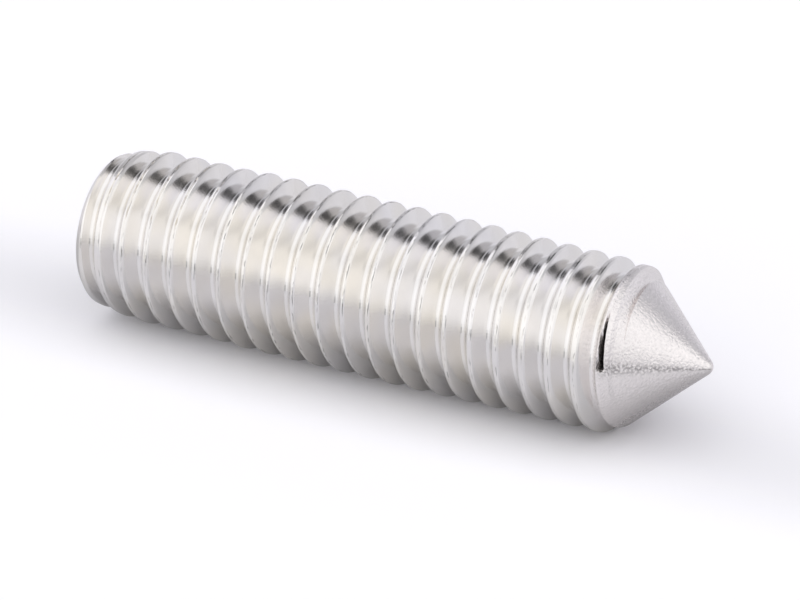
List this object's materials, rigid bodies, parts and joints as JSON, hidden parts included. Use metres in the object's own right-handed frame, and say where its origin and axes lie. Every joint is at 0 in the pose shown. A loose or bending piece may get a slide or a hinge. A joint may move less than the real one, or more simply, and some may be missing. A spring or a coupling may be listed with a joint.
{
  "type": "grub set screw",
  "caption": "Headless set screw with a thread over its whole length, a cone point at one end and a hexagon socket in the other.",
  "frame": {"origin": "centre of the flat socket end, where the screw's axis meets it", "axes": "+Z along the screw's axis, from the socket end to the cone point; +X through a corner of the hexagon"},
  "size_m": [0.0078, 0.0078, 0.03],
  "materials": {
    "steel": "bright stainless steel, rolled thread, fine satin grain on the cone"
  },
  "bodies": {
    "root": {"set_screw": "steel"}
  },
  "joints": []
}
